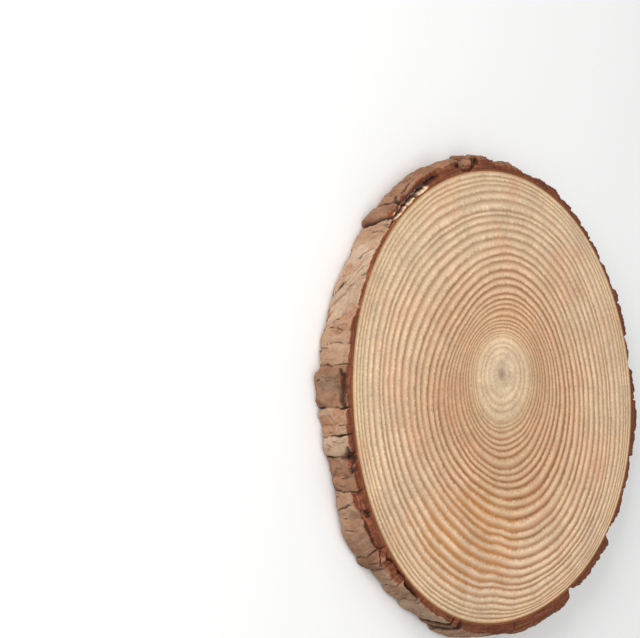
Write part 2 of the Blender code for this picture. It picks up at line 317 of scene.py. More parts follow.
# How the relief and the edges of the marks vary, as shares unless the name says mm or degrees
ROUGHNESS_MM = Unevenness(0.35, 240.0, 1)
SWAY_DEGREES = Unevenness(0.55, 160.0, 3)
CRACK_WANDER_DEGREES = Unevenness(0.35, 420.0, 4)
CRACK_WIDTH = Unevenness(0.5, 300.0, 10)
CRACK_GAPE = Unevenness(1.1, 130.0, 18)
FLAKE_HUMPS = Unevenness(1.0, 150.0, 5)
FLAKE_FRINGES = Unevenness(0.35, 500.0, 9)
SCAR_EDGE_DEGREES = Unevenness(0.5, 380.0, 6)
SCAR_EDGE_HEIGHT = Unevenness(0.07, 420.0, 7)
GROOVE_EDGE = Unevenness(0.05, 700.0, 19)
GROOVE_BREAKS = Unevenness(1.5, 330.0, 20)
POPPED_RAG_MM = Unevenness(0.7, 500.0, 11)
GRAIN_MM = Unevenness(0.11, 900.0, 12)
FINE_GRAIN_MM = Unevenness(0.055, 2070.0, 13)
EDGE_TORN = Unevenness(1.0, 420.0, 2)
EDGE_CRUMBS = Unevenness(1.0, 1100.0, 8)
EDGE_PITS = Unevenness(1.0, 1500.0, 14)
EDGE_WEAR = Unevenness(1.0, 260.0, 16)
SLIT_EDGE = Unevenness(0.1, 600.0, 15)
SLIT_SHADE = Unevenness(0.6, 520.0, 22)
SAWN_EDGE = Unevenness(0.12, 500.0, 17)
CREAM_EDGE_MM = Unevenness(0.25, 420.0, 21)


def s_curve(share):
    """Rises from 0 to 1 as share does, flat at both ends."""
    share = min(max(share, 0.0), 1.0)
    return share * share * (3.0 - 2.0 * share)


def mix(low, high, share):
    """The value between low and high at a share from 0 to 1."""
    return low + (high - low) * share


def patch(place, middle, half):
    """1 near the middle of a patch and 0 outside it, with a soft edge."""
    return s_curve(SCAR_STEEPNESS * (1.0 - abs(place - middle) / half))


def turn_between(angle, other):
    """The turn from one angle to another, from -180 to 180 degrees."""
    return (angle - other + 180.0) % 360.0 - 180.0


def linear(channel):
    """The light that one channel of a display colour, from 0 to 255, stands for."""
    share = channel / 255.0
    return share / 12.92 if share <= 0.04045 else ((share + 0.055) / 1.055) ** 2.4


def shade(red, green, blue):
    """A display colour as the light values that a material takes."""
    return (linear(red), linear(green), linear(blue), 1.0)


SHAPE_SHARES = [shape.share for shape in RING_SHAPES]


def ring_shape(share):
    """The middle and the lobes of the ring at a share of the way out, between the given shapes."""
    at = min(max(bisect.bisect_right(SHAPE_SHARES, share), 1), len(RING_SHAPES) - 1)
    before, after = RING_SHAPES[at - 1], RING_SHAPES[at]
    part = (share - before.share) / (after.share - before.share)
    middle = tuple(mix(low, high, part) for low, high in zip(before.middle, after.middle))
    lobes = []
    for low, high in zip(before[2:], after[2:]):
        along = mix(low[0] * math.cos(math.radians(low[1])), high[0] * math.cos(math.radians(high[1])), part)
        aside = mix(low[0] * math.sin(math.radians(low[1])), high[0] * math.sin(math.radians(high[1])), part)
        lobes.append((along, aside))
    return middle, lobes


def bump_at(angle, bump):
    """A local swell of a ring: bump gives its angle, its width and its height."""
    middle, width, height = bump
    return height * math.exp(-((turn_between(angle, middle) / width) ** 2))


def lobe_swell(turn, lobes):
    """How far the lobes of two, three and four sides swell together, at a turn in radians."""
    return sum(along * math.cos(count * turn) + aside * math.sin(count * turn)
               for count, (along, aside) in zip((2, 3, 4), lobes))


def ring_radius(share, angle, lobes):
    """The radius of a ring about its own middle, as a share of the wood's radius."""
    turn = math.radians(angle)
    swell = lobe_swell(turn, lobes)
    inside = s_curve((1.0 - share) / CALM_EDGE_SHARE)
    local = bump_at(angle, RING_DIP) + bump_at(angle, RING_SWELL)
    swell += inside * s_curve((share - RING_DIP_FROM) / RING_DIP_OVER) * local
    spot = Vector((share * math.cos(turn), share * math.sin(turn), 0.0)) * WOOD_RADIUS
    for size, waves in RING_WOBBLES:
        swell += inside * size * noise.noise(spot * waves) / max(share, CALM_CORE_SHARE)
    return share * (1.0 + swell)


EDGE_LOBES = ring_shape(1.0)[1]


def wood_edge(angle):
    """The wood's radius, under the bark, at an angle."""
    return WOOD_RADIUS * (1.0 + lobe_swell(math.radians(angle), EDGE_LOBES))


def between(stops, angle):
    """The value at an angle, between the (angle, value) stops on its two sides."""
    angle %= 360.0
    for (before, low), (after, high) in zip(stops, stops[1:]):
        if angle <= after:
            return mix(low, high, s_curve((angle - before) / (after - before)))


def lower_rim(angle, otherwise):
    """The bark's thickness in mm at the lower rim, or the other value where the photo hides it."""
    turned = (angle - between(LEAN_TURNS, angle)) % 360.0
    if LOWER_RIM_MM[0][0] < turned < LOWER_RIM_MM[-1][0]:
        return between(LOWER_RIM_MM, turned)
    return otherwise


def side_mm(degrees):
    """A turn round the slice as a length on its side, in mm."""
    return math.radians(degrees) * WOOD_RADIUS / MM


class Popped(NamedTuple):
    """A hollow where a flake of bark has come off."""
    angle: float
    height: float
    radius_mm: float
    depth_mm: float


class Hair(NamedTuple):
    """A fine crack in a plate."""
    angle: float
    height: float
    half_length: float
    slant: float
    depth_mm: float
    half_mm: float


# Fine cracks at the places where the leaning side shows them
HAND_HAIRS = (
    Hair(100.8, 0.80, 0.60, 1.0, 1.6, 0.90), Hair(118.5, 0.35, 0.25, -4.0, 0.6, 0.30),
    Hair(124.6, 0.40, 0.45, 0.8, 0.8, 0.35), Hair(129.8, 0.80, 0.22, 2.0, 0.8, 0.40),
    Hair(136.5, 0.75, 0.30, 3.0, 0.9, 0.35), Hair(145.3, 0.24, 0.10, 0.0, 1.0, 0.85),
    Hair(145.8, 0.30, 0.26, -1.0, 0.5, 0.26), Hair(146.9, 0.70, 0.30, -2.0, 0.6, 0.26),
    Hair(162.0, 0.60, 0.10, 9.0, 0.8, 0.50), Hair(161.0, 0.32, 0.12, 4.0, 0.6, 0.40),
    Hair(174.0, 0.50, 0.20, 2.0, 0.3, 0.20), Hair(189.0, 0.35, 0.12, 5.0, 0.4, 0.26),
    Hair(189.8, 0.30, 0.10, -6.0, 0.4, 0.26), Hair(192.6, 1.00, 0.34, 1.0, 1.6, 0.80),
    Hair(198.4, 0.45, 0.15, 3.0, 0.3, 0.26), Hair(203.6, 0.40, 0.40, -1.7, 0.6, 0.35),
    Hair(208.5, 0.40, 0.30, 2.5, 0.3, 0.26), Hair(218.0, 0.60, 0.30, 1.0, 0.5, 0.30),
    Hair(223.0, 0.35, 0.25, 1.0, 0.4, 0.26), Hair(229.5, 0.45, 0.30, -0.7, 0.4, 0.26),
    Hair(239.0, 0.55, 0.35, 3.0, 0.5, 0.30), Hair(243.0, 0.40, 0.30, 3.0, 0.4, 0.26),
    Hair(247.8, 0.50, 0.80, 0.0, 0.9, 1.60), Hair(251.0, 0.50, 0.80, 0.0, 0.9, 1.60),
    Hair(253.5, 0.60, 0.45, 1.5, 0.8, 0.40), Hair(127.3, 0.42, 0.62, 0.0, 1.3, 0.95),
)


class Groove(NamedTuple):
    """A torn groove that runs round the slice, painted dark with shade: its two angles, its height and how
    deep it goes.
    """
    start: float
    end: float
    height: float
    half_height: float
    depth_mm: float


GROOVES = (
    Groove(97.5, 105.0, 0.93, 0.07, 0.9),
    Groove(112.0, 134.5, 0.90, 0.13, 1.3),
    Groove(118.0, 128.0, 0.68, 0.06, 0.5),
    Groove(172.3, 181.2, 0.89, 0.16, 0.9),
    Groove(189.5, 196.0, 0.96, 0.10, 1.1),
    Groove(204.8, 207.2, 0.96, 0.10, 0.9),
    Groove(206.5, 219.5, 0.84, 0.07, 0.5),
)


class Bark:
    """The bark's plates, popped flakes and fine cracks, with what the surface is like at any place."""

    def __init__(self):
        draw = random.Random(SEED)
        start = START_ANGLE
        self.plates = []
        for plate in PLATES:
            self.plates.append({
                "start": start,
                "end": plate.end,
                "first": plate.first_mm,
                "last": plate.last_mm,
                "tilt": draw.uniform(-PLATE_TILT_MM, PLATE_TILT_MM),
                "upper_chip": draw.uniform(*RIM_CHIP_MM),
                "lower_chip": draw.uniform(*RIM_CHIP_MM),
                "ledge": draw.uniform(*LEDGE_HEIGHT),
                "ledge_step": draw.uniform(-LEDGE_STEP_MM, LEDGE_STEP_MM),
                "crack": draw.uniform(*CRACK_DEPTH_MM),
                "gape": plate.gape,
                "pale": plate.pale,
            })
            start = plate.end
        self.starts = [plate["start"] for plate in self.plates]

        draw = random.Random(SEED + 1)
        popped = [Popped(draw.uniform(0.0, 360.0), draw.uniform(0.0, 1.0),
                         draw.uniform(*POPPED_RADIUS_MM), draw.uniform(*POPPED_DEPTH_MM))
                  for _ in range(POPPED_FLAKES)]
        hairs = [Hair(draw.uniform(0.0, 360.0), draw.uniform(0.0, 1.0), draw.uniform(*HAIR_HALF_LENGTH),
                      draw.uniform(-HAIR_SLANT, HAIR_SLANT), draw.uniform(*HAIR_DEPTH_MM), HAIR_HALF_MM)
                 for _ in range(HAIR_CRACKS)]
        hairs += HAND_HAIRS
        self.popped = self.by_degree(popped, POPPED_REACH_DEGREES)
        self.hairs = self.by_degree(hairs, HAIR_REACH_DEGREES)

    @staticmethod
    def by_degree(marks, reach):
        """The marks near each whole degree."""
        near = {degree: [] for degree in range(360)}
        for mark in marks:
            for degree in range(int(mark.angle) - reach, int(mark.angle) + reach + 1):
                near[degree % 360].append(mark)
        return near

    def surface(self, angle, height):
        """The bark at a place: its thickness in mm, how much painted shade its cracks give, how bare and how
        pale it is.
        """
        wander = CRACK_WANDER_DEGREES.at(angle, height)
        spot = (angle + wander - START_ANGLE) % 360.0 + START_ANGLE
        index = bisect.bisect_right(self.starts, spot) - 1
        plate = self.plates[index]
        scar_mm, torn = self.scars(angle, height)
        depth = self.plate_mm(plate, spot, angle, height) - scar_mm + self.flake_mm(angle, height)

        # Painted shade: the darkest of the cracks, fine cracks and grooves here
        crack = 0.0
        for marks in (self.border_cracks(index, spot, angle, height),
                      self.hair_cracks(spot, height),
                      self.torn_grooves(spot, angle, height)):
            for dark, deep_mm in marks:
                crack = max(crack, dark)
                depth -= deep_mm
        popped_mm, popped = self.popped_hollow(spot, angle, height)
        depth -= popped_mm
        depth += GRAIN_MM.at(angle, height)
        depth += FINE_GRAIN_MM.at(angle, height)
        return max(depth, LEAST_BARK_MM), crack, max(torn, POPPED_BARE * popped), plate["pale"]

    @staticmethod
    def plate_mm(plate, spot, angle, height):
        """A plate's thickness before it has scars, flakes or cracks."""
        across = (spot - plate["start"]) / (plate["end"] - plate["start"])
        upper = mix(plate["first"], plate["last"], across)
        depth = mix(lower_rim(spot, upper + plate["tilt"]), upper, height)
        depth += PLATE_CROWN_MM * (1.0 - (2.0 * across - 1.0) ** 2)
        ledge = s_curve((plate["ledge"] - height) / LEDGE_SHARE + 0.5)
        depth += plate["ledge_step"] * (ledge - 1.0 + height)
        depth -= plate["upper_chip"] * s_curve(1.0 - (1.0 - height) / RIM_CHIP_SHARE)
        depth -= plate["lower_chip"] * s_curve(1.0 - height / RIM_CHIP_SHARE)
        depth += ROUGHNESS_MM.at(angle, height)
        rim = s_curve(1.0 - min(height, 1.0 - height) / EDGE_CRUMBLE_SHARE)
        return depth - EDGE_CRUMBLE_MM * rim * (0.5 + EDGE_CRUMBS.at(angle, height))

    @staticmethod
    def flake_mm(angle, height):
        """How far the steps of thin flakes stand above or below the plate."""
        raised = FLAKE_HUMPS.at(angle, height * FLAKE_STRETCH) + FLAKE_FRINGES.at(angle, height)
        level = (raised + 0.5) * FLAKE_LEVELS
        whole = math.floor(level)
        step = whole + s_curve((level - whole) * FLAKE_STEEPNESS)
        return FLAKE_STEP_MM * (step - 0.5 * FLAKE_LEVELS)

    @staticmethod
    def scars(angle, height):
        """How deep scars go at a place, in mm, less what stands out, and how much bark they tore away."""
        ragged_angle = angle + SCAR_EDGE_DEGREES.at(angle, height)
        ragged_height = height + SCAR_EDGE_HEIGHT.at(angle, height)
        depth = 0.0
        torn = 0.0
        for scar in SCARS + SHALLOW_SCARS:
            aside = turn_between(ragged_angle, scar.angle)
            if abs(aside) < scar.half_width:
                share = patch(aside, 0.0, scar.half_width)
                share *= patch(ragged_height, scar.height, scar.half_height)
                depth += scar.depth_mm * share
                if scar.depth_mm > 0.0:
                    torn = max(torn, share * s_curve((ragged_height - BARE_FROM) / BARE_OVER + 1.0))
        return depth, torn

    def border_cracks(self, index, spot, angle, height):
        """The cracks at a plate's two edges, each as how much painted shade darkens it and how deep it is at
        the place.

        A crack that gapes wide is as wide over its whole height. The others narrow and widen.
        """
        plate = self.plates[index]
        before = self.plates[index - 1]
        following = self.plates[(index + 1) % len(self.plates)]
        least_width, more_width = CRACK_WIDTH_SHARES
        least_depth, most_depth = CRACK_DEPTH_SHARES
        for border, depth_mm, gape in ((spot - plate["start"], plate["crack"], before["gape"]),
                                       (plate["end"] - spot, following["crack"], plate["gape"])):
            if gape < WIDE_GAPE:
                gape *= 1.0 + CRACK_GAPE.at(angle, GAPE_STRETCH * height)
            width = least_width + more_width * gape + CRACK_WIDTH.at(angle, height)
            near = 1.0 - side_mm(border) / max(CRACK_HALF_WIDTH_MM * width, LEAST_CRACK_MM)
            if near > 0.0:
                inside = near ** CRACK_SHARPNESS * min(most_depth, least_depth + gape)
                yield min(inside, 1.0), depth_mm * inside

    def hair_cracks(self, spot, height):
        """The fine cracks at a place, each as how much painted shade darkens it and how deep it is there."""
        for hair in self.hairs[int(spot) % 360]:
            along = (height - hair.height) / hair.half_length
            if abs(along) < 1.0:
                middle = hair.angle + hair.slant * (height - hair.height)
                half_mm = hair.half_mm * (1.0 + HAIR_TIP_SHARE - along * along)
                aside = abs(side_mm(turn_between(spot, middle))) / half_mm
                if aside < 1.0:
                    steepness = WIDE_HAIR_STEEPNESS if hair.half_mm > WIDE_HAIR_MM else 1.0
                    inside = min(1.0, steepness * (1.0 - aside) * math.sqrt(1.0 - along * along))
                    yield inside, hair.depth_mm * inside

    @staticmethod
    def torn_grooves(spot, angle, height):
        """The torn grooves at a place, each as how much painted shade darkens it and how deep it is there."""
        for groove in GROOVES:
            along = (spot % 360.0 - groove.start) / (groove.end - groove.start)
            if 0.0 < along < 1.0:
                ragged = height + GROOVE_EDGE.at(angle, height)
                reach = groove.half_height * math.sin(math.pi * along) ** GROOVE_BLUNTNESS
                inside = max(0.0, 1.0 - abs(ragged - groove.height) / reach) ** CRACK_SHARPNESS
                inside *= s_curve(GROOVE_WHOLENESS + GROOVE_BREAKS.at(angle, height))
                yield GROOVE_DARKNESS * inside, groove.depth_mm * inside

    def popped_hollow(self, spot, angle, height):
        """How deep popped flakes left hollows at a place, in mm, and how far inside one it lies."""
        depth = 0.0
        inside = 0.0
        for gone in self.popped[int(spot) % 360]:
            above = (height - gone.height) * SLICE_THICKNESS / MM / POPPED_STRETCH
            away = math.hypot(side_mm(turn_between(spot, gone.angle)), above)
            away += POPPED_RAG_MM.at(angle, height)
            hollow = s_curve((gone.radius_mm - away) / POPPED_EDGE_MM)
            depth += gone.depth_mm * hollow * mix(POPPED_MIDDLE_SHARE, 1.0, away / gone.radius_mm)
            inside = max(inside, hollow)
        return depth, inside

    def drop_mm(self, angle, across, face, crack):
        """How far the bark's sawn edge lies behind the sawn wood, from the wood (0) to the rim (1)."""
        drop = s_curve(across) * (mix(*BARK_DROP_MM, 0.5 + EDGE_TORN.at(angle, face)) + CRACK_DROP_MM * crack)
        drop += EDGE_PIT_MM * across * (0.5 + EDGE_PITS.at(angle, face + EDGE_PIT_SPREAD * across))
        worn = max(0.0, across - EDGE_ROUND_FROM) / (1.0 - EDGE_ROUND_FROM)
        drop += EDGE_ROUND_MM * worn * worn * (EDGE_ROUND_SHARE + EDGE_WEAR.at(angle, face))
        if face == 1:
            drop += SLIT_DEPTH_MM * self.slit(angle, across)
        return max(drop, BELOW_FACE_MM)

    @staticmethod
    def slit(angle, across):
        """How far inside a slit a point of the upper sawn edge lies, from 0 to 1."""
        for start, end in SLITS:
            along = (angle - start) / (end - start)
            if 0.0 < along < 1.0:
                share = across + SLIT_EDGE.at(angle, 0.0)
                inside = max(0.0, 1.0 - abs(share - SLIT_SHARE) / SLIT_HALF_SHARE)
                return inside * math.sqrt(math.sin(math.pi * along))
        return 0.0

    def slit_shade(self, angle, across):
        """How dark the slits make the upper sawn edge."""
        steepness, depth = SLIT_DARKNESS
        return s_curve(steepness * self.slit(angle, across)) * (depth + SLIT_SHADE.at(angle, across))


def bark_loop():
    """The steps of the loop round the bark's section, each as its zone and its share along it."""
    steps = [("side", step / SIDE_ROWS) for step in range(SIDE_ROWS + 1)]
    steps += [("upper", 1.0 - step / UPPER_BAND_LOOPS) for step in range(1, UPPER_BAND_LOOPS + 1)]
    steps += [("wall", 1.0), ("wall", 0.0)]
    steps += [("lower", step / LOWER_BAND_LOOPS) for step in range(LOWER_BAND_LOOPS)]
    return steps


def plain_ring(columns, loop_steps):
    """A plain ring of radius 1 with even columns round it and even steps round its section."""
    ring = bmesh.new()
    upright = Matrix.Translation((1.0, 0.0, 0.0)) @ Matrix.Rotation(math.radians(90.0), 4, "X")
    bmesh.ops.create_circle(ring, segments=loop_steps, radius=PLAIN_LOOP_RADIUS, matrix=upright)
    bmesh.ops.spin(ring, geom=ring.verts[:] + ring.edges[:], cent=(0.0, 0.0, 0.0), axis=(0.0, 0.0, 1.0),
                   steps=columns // COLUMNS_A_SPAN, angle=math.tau, use_merge=True)
    spans = [edge for edge in ring.edges if same_step(*edge.verts)]
    bmesh.ops.subdivide_edges(ring, edges=spans, cuts=COLUMNS_A_SPAN - 1, use_grid_fill=False)
    return ring


def same_step(first, second):
    """Whether two points of the plain ring lie on the same step of its section."""
    apart = math.hypot(first.co.x, first.co.y) - math.hypot(second.co.x, second.co.y)
    return max(abs(apart), abs(first.co.z - second.co.z)) < SAME_PLACE


def ring_counts(spot, columns, loop_steps):
    """The column and the step of the section that a point of the plain ring lies on."""
    column = round(math.atan2(spot.y, spot.x) / math.tau * columns) % columns
    turn = math.atan2(spot.z, math.hypot(spot.x, spot.y) - 1.0)
    return column, round(turn / math.tau * loop_steps) % loop_steps


def cream_share(angle, thickness):
    """How much of the upper sawn edge is pale inner bark, by how far out from the wood it is, in mm."""
    middle, half_width, far_out_mm, half_mm = CREAM_STRIP
    share = patch(turn_between(angle, middle), 0.0, half_width)
    return share * patch(thickness + CREAM_EDGE_MM.at(angle, 1.0), far_out_mm, half_mm)


def grey_share(angle, height):
    """How grey the skin has weathered at a place on the side."""
    middle, half_width, middle_height, reach = GREY_PATCH
    return patch(turn_between(angle, middle), 0.0, half_width) * patch(height, middle_height, reach)


def grown_bark():
    """The bark as a closed ring, with the attributes that its finish reads."""
    bark = Bark()
    loop = bark_loop()
    ring = plain_ring(BARK_COLUMNS, len(loop))
    names = ("layer", "crack", "bare", "pale", "sawn", "grey", "cream")
    layers = {name: ring.verts.layers.float.new(name) for name in names}
    rims = {}
    for column in range(BARK_COLUMNS):
        angle = START_ANGLE + 360.0 * column / BARK_COLUMNS
        rims[column] = (angle, bark.surface(angle, 0.0), bark.surface(angle, 1.0))
    for vertex in ring.verts:
        column, step = ring_counts(vertex.co, BARK_COLUMNS, len(loop))
        angle, lower, upper = rims[column]
        zone, share = loop[step]
        height = {"side": share, "upper": 1.0, "lower": 0.0, "wall": share}[zone]
        across = {"side": 1.0, "wall": 0.0}.get(zone, share)
        if zone == "side":
            depth, crack, bare, pale = bark.surface(angle, height)
        else:
            depth, crack, bare, pale = upper if height > 0.5 else lower
        floor = LOWER_FACE + bark.drop_mm(angle, across, 0, lower[1]) * MM
        roof = UPPER_FACE - bark.drop_mm(angle, across, 1, upper[1]) * MM
        level = mix(floor, roof, height)

        lean = between(LEAN_TURNS, angle) * (1.0 - (level - LOWER_FACE) / SLICE_THICKNESS)
        turned = angle + SWAY_DEGREES.at(angle, height) - lean
        thickness = across * depth - (SUNK_INTO_WOOD_MM if across == 0.0 else 0.0)
        radius = wood_edge(turned) + thickness * MM
        turn = math.radians(turned)
        spot = (WOOD_MIDDLE[0] + radius * math.cos(turn), WOOD_MIDDLE[1] + radius * math.sin(turn), level)
        vertex.co = [min(max(value, low), high) for value, low, high in zip(spot, *CAD_BOX)]

        # The crack attribute is painted shade: how far cracks, grooves and slits are darkened
        crack *= across
        cream = 0.0
        if zone == "upper":
            crack = max(crack, bark.slit_shade(angle, across))
            cream = cream_share(angle, thickness)
        sawn = 0.0
        if zone != "side":
            sawn = s_curve((SAWN_TO - across - SAWN_EDGE.at(angle, height)) / SAWN_OVER)
        values = (thickness, crack, bare, pale, sawn, grey_share(angle, height), cream)
        for name, value in zip(names, values):
            vertex[layers[name]] = value
    return ring


def year_ends():
    """The share of the way out at which each year's growth ends."""
    ends = [0.0]
    for growth in YEARLY_GROWTH_MM:
        ends.append(ends[-1] + growth)
    return [end / ends[-1] for end in ends]


def spun(profile, columns):
    """A closed turned shape from a half profile of (radius, height) points that ends on the axis."""
    turned = bmesh.new()
    points = [turned.verts.new((radius, 0.0, height)) for radius, height in profile]
    edges = [turned.edges.new(pair) for pair in zip(points, points[1:])]
    bmesh.ops.spin(turned, geom=points + edges, cent=(0.0, 0.0, 0.0), axis=(0.0, 0.0, 1.0), steps=columns,
                   angle=math.tau, use_merge=True)
    bmesh.ops.remove_doubles(turned, verts=turned.verts, dist=SAME_PLACE)
    return turned


def grown_wood():
    """The wood as a closed disc whose loops follow its rings, with the year of each point."""
    ends = year_ends()
    shares = [mix(start, end, part) for start, end in zip(ends, ends[1:]) for part in RING_LOOPS] + [1.0]
    profile = [(share, 1.0) for share in shares] + [(share, 0.0) for share in reversed(shares)]
    disc = spun(profile, WOOD_COLUMNS)
    year_layer = disc.verts.layers.float.new("year")
    growth_layer = disc.verts.layers.float.new("growth")
    for vertex in disc.verts:
        share = math.hypot(vertex.co.x, vertex.co.y)
        if share > 1.0 - SAME_PLACE:
            share = 1.0
        angle = math.degrees(math.atan2(vertex.co.y, vertex.co.x))
        year = min(bisect.bisect_right(ends, share + SAME_PLACE) - 1, len(ends) - 2)
        part = (share - ends[year]) / (ends[year + 1] - ends[year])
        middle, lobes = ring_shape(share)
        radius = ring_radius(share, angle, lobes)
        turn = math.radians(angle)
        sunk = EARLYWOOD_SUNK_MM * MM * (1.0 - s_curve(2.0 * part - 1.0)) if share < 1.0 else 0.0
        vertex.co = (PITH[0] + WOOD_RADIUS * (middle[0] + radius * math.cos(turn)),
                     PITH[1] + WOOD_RADIUS * (middle[1] + radius * math.sin(turn)),
                     UPPER_FACE - sunk if vertex.co.z > 0.5 else LOWER_FACE + sunk)
        vertex[year_layer] = year + part
        vertex[growth_layer] = share
    return disc


class Wire:
    """A node's output, so that shader maths can be written as sums."""

    def __init__(self, finish, output):
        self.finish = finish
        self.output = output

    def maths(self, operation, first, second=0.0, clamp=False):
        return self.finish.node("ShaderNodeMath", {"operation": operation, "use_clamp": clamp},
                                {0: first, 1: second})

    def __add__(self, other):
        return self.maths("ADD", self, other)

    def __radd__(self, other):
        return self.maths("ADD", other, self)

    def __sub__(self, other):
        return self.maths("SUBTRACT", self, other)

    def __rsub__(self, other):
        return self.maths("SUBTRACT", other, self)

    def __mul__(self, other):
        return self.maths("MULTIPLY", self, other)

    def __rmul__(self, other):
        return self.maths("MULTIPLY", other, self)

    def __truediv__(self, other):
        return self.maths("DIVIDE", self, other)

    def __rtruediv__(self, other):
        return self.maths("DIVIDE", other, self)

    def __pow__(self, other):
        return self.maths("POWER", self, other)

    def __rpow__(self, other):
        return self.maths("POWER", other, self)

    def held(self):
        """The value held between 0 and 1."""
        return self.maths("ADD", self, 0.0, clamp=True)

    def fraction(self):
        return self.maths("FRACT", self)

    def whole(self):
        return self.maths("FLOOR", self)

    def larger(self, other):
        return self.maths("MAXIMUM", self, other)


class Finish:
    """A material in the making: its nodes are added one by one."""

    def __init__(self, name):
        self.material = bpy.data.materials.new(name)
        self.material.use_nodes = True
        self.tree = self.material.node_tree
        self.tree.nodes.clear()

    def node(self, kind, settings=None, sockets=None, output=0):
        """Adds a node with its settings and then its sockets' values or links, and gives one output."""
        made = self.tree.nodes.new(kind)
        for name, value in (settings or {}).items():
            if name == "stops":
                self.set_stops(made.color_ramp, value)
            else:
                setattr(made, name, value)
        for name, value in (sockets or {}).items():
            if isinstance(value, Wire):
                self.tree.links.new(value.output, made.inputs[name])
            else:
                made.inputs[name].default_value = value
        return Wire(self, made.outputs[output]) if made.outputs else None

    @staticmethod
    def set_stops(ramp, stops):
        """Gives a ramp its stops, each as (place, colour)."""
        while len(ramp.elements) > 1:
            ramp.elements.remove(ramp.elements[-1])
        for index, (place, color) in enumerate(stops):
            stop = ramp.elements[0] if index == 0 else ramp.elements.new(place)
            stop.position = place
            stop.color = color

    def place(self):
        """Where a point is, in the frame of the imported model."""
        return self.node("ShaderNodeTexCoord", output=3)

    def attribute(self, name):
        return self.node("ShaderNodeAttribute", {"attribute_name": name}, output=2)

    def parts(self, vector):
        """The three parts of a vector."""
        split = self.node("ShaderNodeSeparateXYZ", sockets={0: vector}).output.node
        return [Wire(self, output) for output in split.outputs]

    def vector(self, x, y, z):
        return self.node("ShaderNodeCombineXYZ", sockets={0: x, 1: y, 2: z})

    def noise(self, vector, scale, detail=2.0, roughness=0.5):
        return self.node("ShaderNodeTexNoise", {"noise_dimensions": "3D"},
                         {"Vector": vector, "Scale": scale, "Detail": detail, "Roughness": roughness})

    def ramp(self, factor, stops):
        """A ramp of colours, or of greys where the stops are numbers."""
        colors = [(place, value if isinstance(value, tuple) else (value, value, value, 1.0))
                  for place, value in stops]
        return self.node("ShaderNodeValToRGB", {"stops": colors}, {0: factor})

    def span(self, value, low, high):
        """0 below low, 1 above high and even between them."""
        return self.node("ShaderNodeMapRange", {"clamp": True}, {0: value, 1: low, 2: high, 3: 0.0, 4: 1.0})

    def mixed(self, factor, low, high):
        """Two colours mixed, the second over the first."""
        return self.node("ShaderNodeMix", {"data_type": "RGBA"}, {0: factor, 6: low, 7: high}, output=2)

    def lit(self, color, factor):
        """A colour made lighter or darker."""
        return self.node("ShaderNodeVectorMath", {"operation": "SCALE"}, {0: color, 3: factor})

    def bump(self, height, distance):
        return self.node("ShaderNodeBump", sockets={"Height": height, "Distance": distance})

    def close(self, color, roughness, normal, specular):
        """Ends the material with its surface."""
        surface = self.node("ShaderNodeBsdfPrincipled", sockets={
            "Base Color": color, "Roughness": roughness, "Normal": normal, "Specular IOR Level": specular})
        self.node("ShaderNodeOutputMaterial", sockets={0: surface})
        return self.material


# Colours of the wood by the share of the way out, and the wave of late over early wood in one year
EARLYWOOD = (
    (0.0, shade(158, 136, 112)), (0.018, shade(182, 157, 131)), (0.036, shade(212, 186, 156)),
    (0.1, shade(224, 198, 166)), (0.17, shade(222, 195, 160)), (0.225, shade(213, 179, 142)),
    (0.3, shade(214, 176, 139)), (0.5, shade(224, 187, 151)), (0.72, shade(229, 198, 165)),
    (0.9, shade(226, 199, 167)), (1.0, shade(220, 192, 156)),
)
LATEWOOD = (
    (0.0, shade(152, 128, 104)), (0.04, shade(207, 180, 148)), (0.17, shade(200, 168, 132)),
    (0.24, shade(172, 129, 91)), (0.33, shade(156, 112, 72)), (0.5, shade(155, 113, 76)),
    (0.66, shade(158, 121, 86)), (0.85, shade(170, 138, 104)), (1.0, shade(176, 144, 107)),
)
YEAR_WAVE = (
    (0.0, 0.95), (0.07, 0.66), (0.2, 0.2), (0.36, 0.0), (0.5, 0.06), (0.68, 0.45), (0.85, 0.85),
    (0.97, 1.0), (1.0, 0.95),
)
FOOT_LATEWOOD = shade(146, 92, 46)
ROSY_LATEWOOD = shade(182, 118, 92)
ROSY_WOOD = shade(210, 150, 112)
PALE_WOOD = shade(214, 186, 150)
RESIN = shade(192, 128, 66)
RESIN_MIDDLE = (-0.0215, -0.0445)
RESIN_SIZE = (0.03, 0.02)
SAW_SLANT = (0.82, 0.57)

# Colours of the bark: its skin by how pale it is, then its inner layers by their noise
SKIN = (
    (0.0, shade(86, 54, 36)), (0.25, shade(116, 82, 60)), (0.5, shade(139, 105, 81)),
    (0.75, shade(151, 123, 99)), (1.0, shade(163, 140, 118)),
)
INNER_LAYERS = (
    (0.25, shade(70, 30, 16)), (0.42, shade(100, 50, 29)), (0.55, shade(124, 69, 42)),
    (0.7, shade(152, 97, 64)), (0.85, shade(102, 52, 31)),
)
RUSTY_SKIN = shade(150, 102, 76)
WRINKLED_SKIN = shade(112, 76, 54)
PORES = shade(94, 60, 42)
GREY_SKIN = shade(112, 90, 70)
UNDER_SKIN = shade(146, 100, 74)
DARK_UNDER_SKIN = shade(112, 68, 46)
DARK_FIBRES = shade(86, 38, 20)
BAST = shade(150, 94, 50)
CREAM = shade(226, 190, 158)
# Painted shade for the cracks, grooves and slits: a near black brown
CRACK_SHADE = shade(46, 21, 12)
NEVER_ZERO = 1e-9


